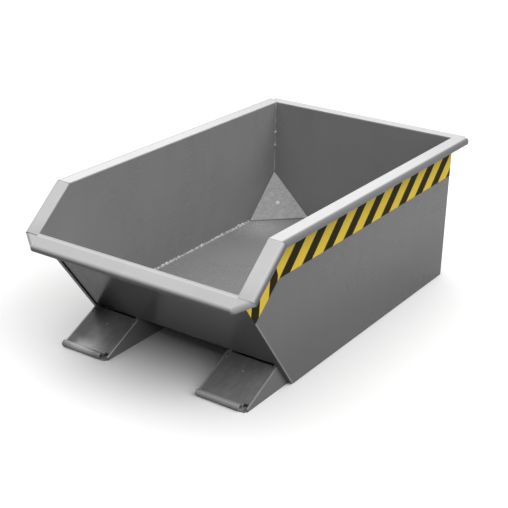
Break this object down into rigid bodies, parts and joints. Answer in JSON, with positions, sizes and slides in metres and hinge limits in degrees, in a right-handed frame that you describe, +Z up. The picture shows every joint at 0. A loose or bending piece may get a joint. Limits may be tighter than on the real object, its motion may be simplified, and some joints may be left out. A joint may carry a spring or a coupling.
{
  "type": "forklift tipping skip",
  "caption": "Low sheet steel skip with a leaning front wall and a wide folded rim, tipping forwards on a base of fork pockets with ramped toes; a rear latch keeps it level.",
  "frame": {"origin": "on the ground, under the middle of the skip's outline seen from above", "axes": "+Z up, +X to the right seen from the emptying side, -Y towards the lip that it empties over"},
  "size_m": [0.684, 1.1307, 0.426],
  "materials": {
    "grey_paint": "semi-gloss grey paint",
    "rim_paint": "semi-gloss grey paint",
    "gusset_paint": "satin grey paint",
    "hazard_tape": "yellow and black slanted stripes",
    "bare_steel": "zinc plated",
    "rubber": "matte",
    "knob": "matte black"
  },
  "bodies": {
    "base": {"front_cross_tube": "grey_paint", "latch_bolt": "bare_steel", "latch_bracket": "grey_paint", "left_hinge_rod": "bare_steel", "left_inner_pocket_plate": "grey_paint", "left_outer_pocket_plate": "grey_paint", "left_pocket_floor": "grey_paint", "left_pocket_top": "grey_paint", "left_toe_ramp": "grey_paint", "ramp_studs": "bare_steel", "rear_cross_tube": "grey_paint", "rest_pads": "rubber", "right_hinge_rod": "bare_steel", "right_inner_pocket_plate": "grey_paint", "right_outer_pocket_plate": "grey_paint", "right_pocket_floor": "grey_paint", "right_pocket_top": "grey_paint", "right_toe_ramp": "grey_paint"},
    "tub": {"floor_plate": "grey_paint", "floor_ribs": "grey_paint", "front_rim_rail": "rim_paint", "front_wall": "grey_paint", "gusset_studs": "bare_steel", "latch_striker": "bare_steel", "latch_striker_head": "bare_steel", "left_corner_gusset": "gusset_paint", "left_hazard_tape": "hazard_tape", "left_hinge_lugs": "grey_paint", "left_nose_rail": "rim_paint", "left_rim_cap": "rim_paint", "left_rim_rail": "rim_paint", "left_side_wall": "grey_paint", "rear_rim_rail": "rim_paint", "rear_wall": "grey_paint", "right_corner_gusset": "gusset_paint", "right_hazard_tape": "hazard_tape", "right_hinge_lugs": "grey_paint", "right_nose_rail": "rim_paint", "right_rim_cap": "rim_paint", "right_rim_rail": "rim_paint", "right_side_wall": "grey_paint"},
    "latch": {"latch_hook": "grey_paint", "latch_knob": "knob"},
    "left_pin": {"left_fork_pin": "bare_steel"},
    "right_pin": {"right_fork_pin": "bare_steel"}
  },
  "joints": [
    {"name": "tub_tip", "type": "hinge", "parent": "base", "child": "tub", "pos_m": [0, -0.35654, 0.05201], "axis": [1, 0, 0], "range_deg": [0, 58]},
    {"name": "latch_swing", "type": "hinge", "parent": "base", "child": "latch", "pos_m": [0, 0.5325, 0.036], "axis": [0, -1, 0], "range_deg": [0, 50]},
    {"name": "left_pin_lift", "type": "slide", "parent": "base", "child": "left_pin", "axis": [0, 0, 1], "range_m": [0, 0.062]},
    {"name": "right_pin_lift", "type": "slide", "parent": "base", "child": "right_pin", "axis": [0, 0, 1], "range_m": [0, 0.062]}
  ]
}
